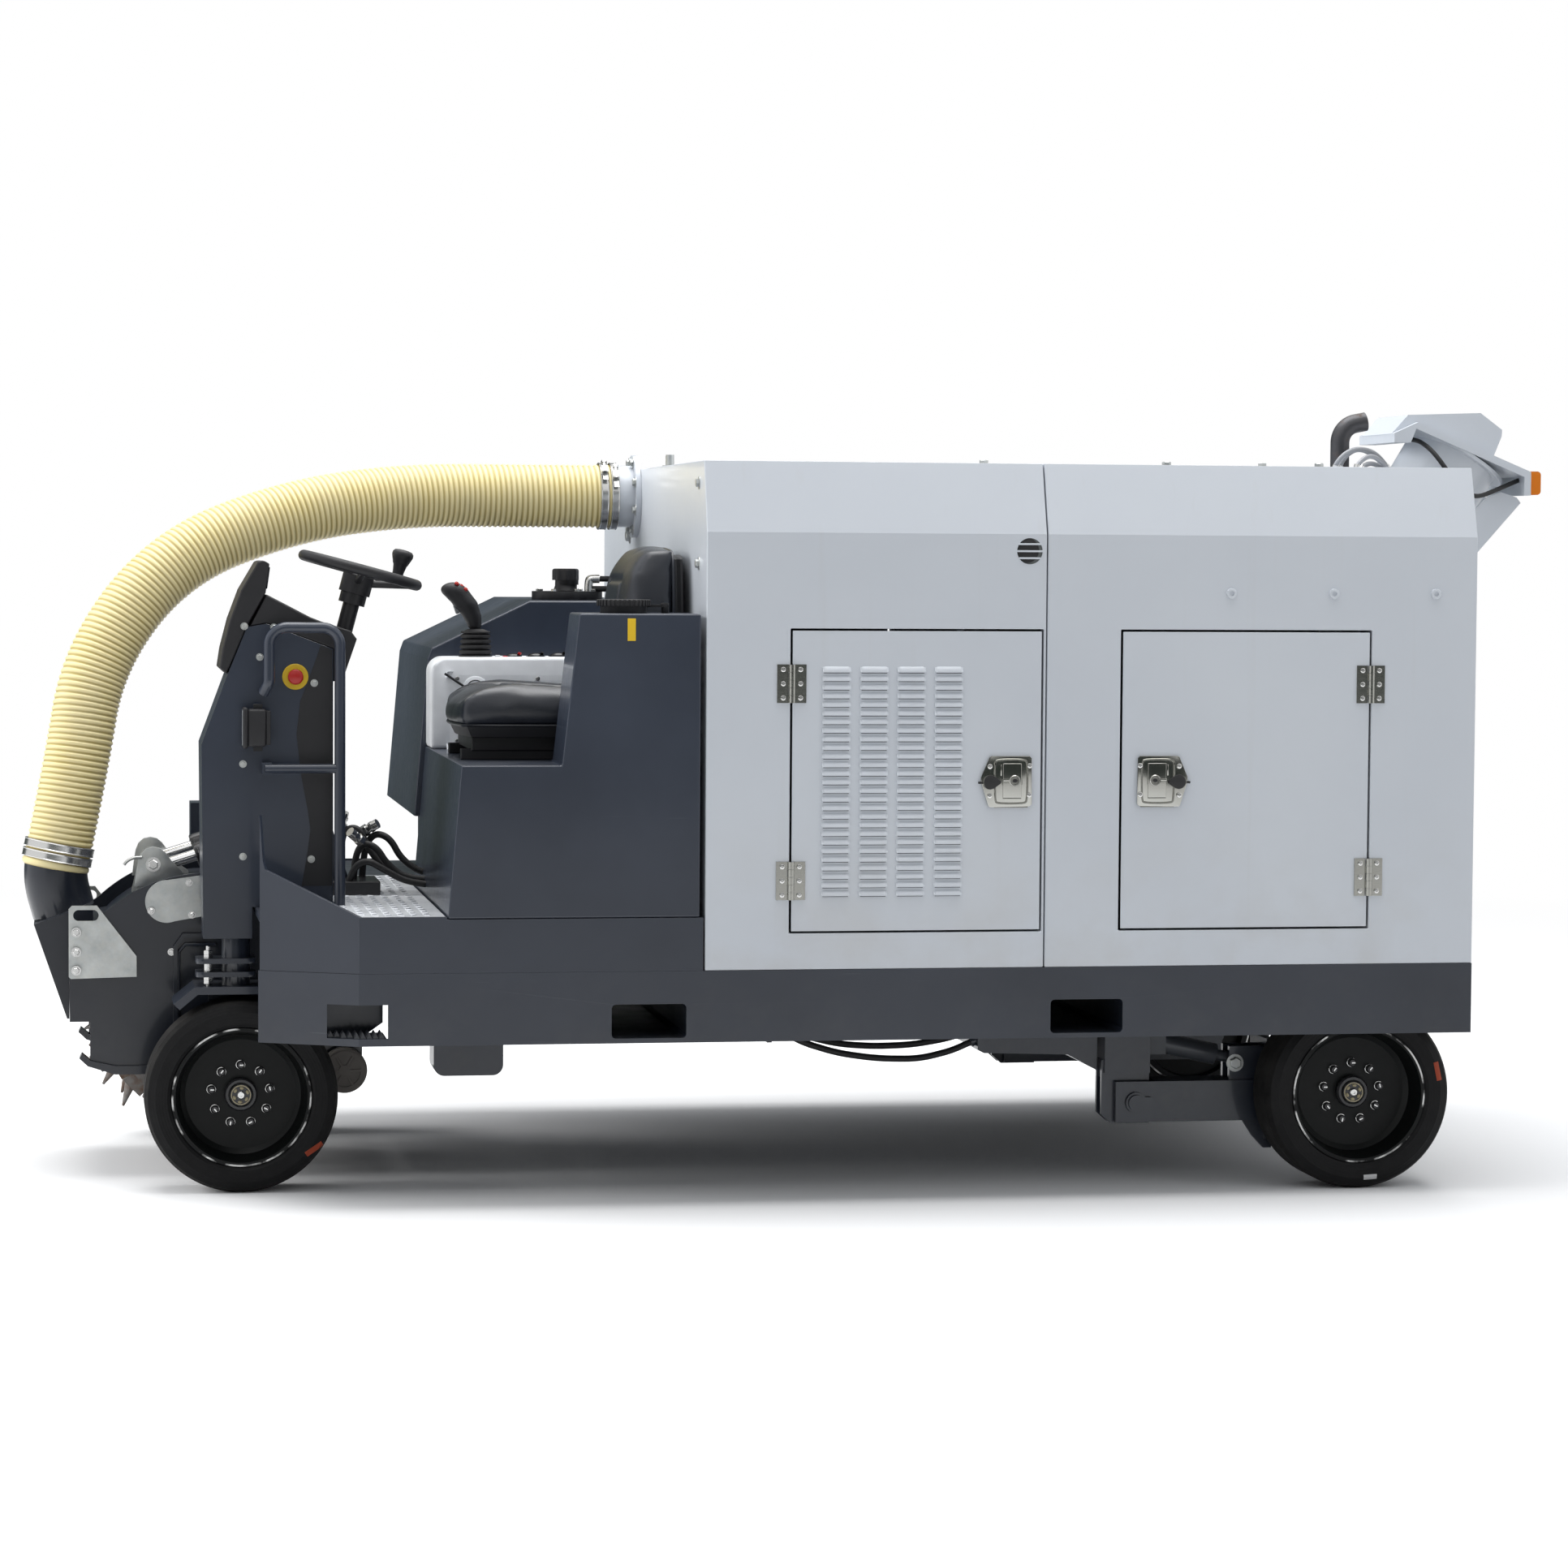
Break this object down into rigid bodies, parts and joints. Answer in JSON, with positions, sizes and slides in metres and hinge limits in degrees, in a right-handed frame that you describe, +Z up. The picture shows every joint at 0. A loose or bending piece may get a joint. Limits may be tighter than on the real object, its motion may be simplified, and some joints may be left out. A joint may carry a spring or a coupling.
{
  "type": "cold milling machine",
  "caption": "Ride-on road milling machine with a side-by-side seat and steering tower, low milling head and suction hose.",
  "frame": {"origin": "on the ground, in the middle of the machine's length and width", "axes": "+X to the rear, +Y to the operator's right, +Z up; the milling head is at -X"},
  "size_m": [3.8948, 1.9312, 1.911],
  "materials": {
    "frame_paint": "dark blue-grey gloss paint",
    "white_paint": "off-white paint",
    "tread_aluminium": "raised tread plate",
    "black_steel": "black paint",
    "zinc_plate": "zinc plated",
    "engine_grey": "grey paint",
    "black_plastic": "moulded, matt",
    "seat_leather": "black leatherette",
    "hydraulic_grey": "grey paint",
    "hydraulic_black": "black gloss",
    "rod_chrome": "hard chrome",
    "cream_hose": "ribbed cream plastic",
    "hose_rubber": "black rubber",
    "exhaust_steel": "heat-dulled dark paint",
    "amber_lens": "amber lens",
    "drum_steel": "painted drum with bits",
    "tyre_rubber": "solid tyre",
    "rim_paint": "black gloss paint"
  },
  "bodies": {
    "chassis": {"beacon": "amber_lens", "belly_boxes": "frame_paint", "belly_hose_inner": "hose_rubber", "belly_hose_outer": "hose_rubber", "chassis_frame": "frame_paint", "collecting_bin": "engine_grey", "console": "white_paint", "console_controls": "black_plastic", "cylinder_anchor": "frame_paint", "discharge_tube": "white_paint", "engine_block": "engine_grey", "exhaust_pipe": "exhaust_steel", "front_shell": "white_paint", "handrail": "frame_paint", "hinge_leaves": "zinc_plate", "hose_flange": "white_paint", "platform": "frame_paint", "rear_arms": "frame_paint", "rear_grille": "black_steel", "rear_jacks": "hydraulic_grey", "rear_shell": "white_paint", "right_leg": "frame_paint", "seat_back": "seat_leather", "seat_box": "frame_paint", "seat_cushion": "seat_leather", "seat_slide": "black_steel", "steering_column": "black_steel", "steering_tower": "frame_paint", "suction_hose": "cream_hose", "tank_caps": "black_plastic", "tank_housing": "frame_paint", "tower_cowl": "black_plastic", "tower_fittings": "black_plastic", "tread_plate": "tread_aluminium"},
    "head": {"milling_housing": "frame_paint", "plated_brackets": "zinc_plate", "suction_elbow": "frame_paint"},
    "drum": {"milling_drum": "drum_steel"},
    "gauge": {"gauge_wheels": "black_plastic"},
    "barrels": {"cylinder_barrels": "hydraulic_black"},
    "rods": {"cylinder_rods": "rod_chrome"},
    "steering_wheel": {"steering_wheel": "black_plastic"},
    "yoke_left": {"front_yoke_left": "frame_paint"},
    "yoke_right": {"front_yoke_right": "frame_paint"},
    "front_wheel_left": {"front_tyre_left": "tyre_rubber", "front_rim_left": "rim_paint"},
    "front_door_left": {"front_door_left": "white_paint", "front_door_fittings_left": "zinc_plate"},
    "front_wheel_right": {"front_tyre_right": "tyre_rubber", "front_rim_right": "rim_paint"},
    "front_door_right": {"front_door_right": "white_paint", "front_door_fittings_right": "zinc_plate"},
    "rear_wheel_left": {"rear_tyre_left": "tyre_rubber", "rear_rim_left": "rim_paint"},
    "rear_door_left": {"rear_door_left": "white_paint", "rear_door_fittings_left": "zinc_plate"},
    "rear_wheel_right": {"rear_tyre_right": "tyre_rubber", "rear_rim_right": "rim_paint"},
    "rear_door_right": {"rear_door_right": "white_paint", "rear_door_fittings_right": "zinc_plate"}
  },
  "joints": [
    {"name": "head_lift", "type": "hinge", "parent": "chassis", "child": "head", "pos_m": [-1.0626, 0, 0.47], "axis": [0, 1, 0], "range_deg": [-10, 6], "deforming": ["suction_hose"]},
    {"name": "drum_spin", "type": "hinge", "parent": "head", "child": "drum", "pos_m": [-1.5026, 0, 0.371], "axis": [0, 1, 0], "continuous": true},
    {"name": "gauge_spin", "type": "hinge", "parent": "head", "child": "gauge", "pos_m": [-1.1726, 0, 0.262], "axis": [0, 1, 0], "continuous": true},
    {"name": "barrel_swing", "type": "hinge", "parent": "chassis", "child": "barrels", "pos_m": [-1.2346, 0, 0.872], "axis": [0, 1, 0], "range_deg": [-11, 6.7]},
    {"name": "rod_slide", "type": "slide", "parent": "barrels", "child": "rods", "axis": [-0.9548, 0, -0.2973], "range_m": [-0.048, 0.078]},
    {"name": "steering_turn", "type": "hinge", "parent": "chassis", "child": "steering_wheel", "pos_m": [-1.1426, -0.445, 1.488], "axis": [0.2559, 0, 0.9667], "continuous": true},
    {"name": "steer_left", "type": "hinge", "parent": "chassis", "child": "yoke_left", "pos_m": [-1.4436, -0.507, 0.5], "axis": [0, 0, 1], "range_deg": [-25, 25]},
    {"name": "front_spin_left", "type": "hinge", "parent": "yoke_left", "child": "front_wheel_left", "pos_m": [-1.4326, -0.507, 0.23], "axis": [0, 1, 0], "continuous": true},
    {"name": "rear_spin_left", "type": "hinge", "parent": "chassis", "child": "rear_wheel_left", "pos_m": [1.2544, -0.77, 0.23], "axis": [0, 1, 0], "continuous": true},
    {"name": "front_door_swing_left", "type": "hinge", "parent": "chassis", "child": "front_door_left", "pos_m": [-0.1711, -0.958, 1], "axis": [0, 0, -1], "range_deg": [0, 110]},
    {"name": "rear_door_swing_left", "type": "hinge", "parent": "chassis", "child": "rear_door_left", "pos_m": [1.2349, -0.958, 1], "axis": [0, 0, 1], "range_deg": [0, 110]},
    {"name": "steer_right", "type": "hinge", "parent": "chassis", "child": "yoke_right", "pos_m": [-1.4436, 0.507, 0.5], "axis": [0, 0, 1], "range_deg": [-25, 25]},
    {"name": "front_spin_right", "type": "hinge", "parent": "yoke_right", "child": "front_wheel_right", "pos_m": [-1.4326, 0.507, 0.23], "axis": [0, 1, 0], "continuous": true},
    {"name": "rear_spin_right", "type": "hinge", "parent": "chassis", "child": "rear_wheel_right", "pos_m": [1.2544, 0.77, 0.23], "axis": [0, 1, 0], "continuous": true},
    {"name": "front_door_swing_right", "type": "hinge", "parent": "chassis", "child": "front_door_right", "pos_m": [-0.1711, 0.958, 1], "axis": [0, 0, 1], "range_deg": [0, 110]},
    {"name": "rear_door_swing_right", "type": "hinge", "parent": "chassis", "child": "rear_door_right", "pos_m": [1.2349, 0.958, 1], "axis": [0, 0, -1], "range_deg": [0, 110]}
  ],
  "couplings": [
    {"joint": "barrel_swing", "follows": "head_lift", "ratio": 1.08},
    {"joint": "rod_slide", "follows": "head_lift", "m_per_rad": -0.4355},
    {"joint": "steer_right", "follows": "steer_left", "ratio": 1}
  ]
}
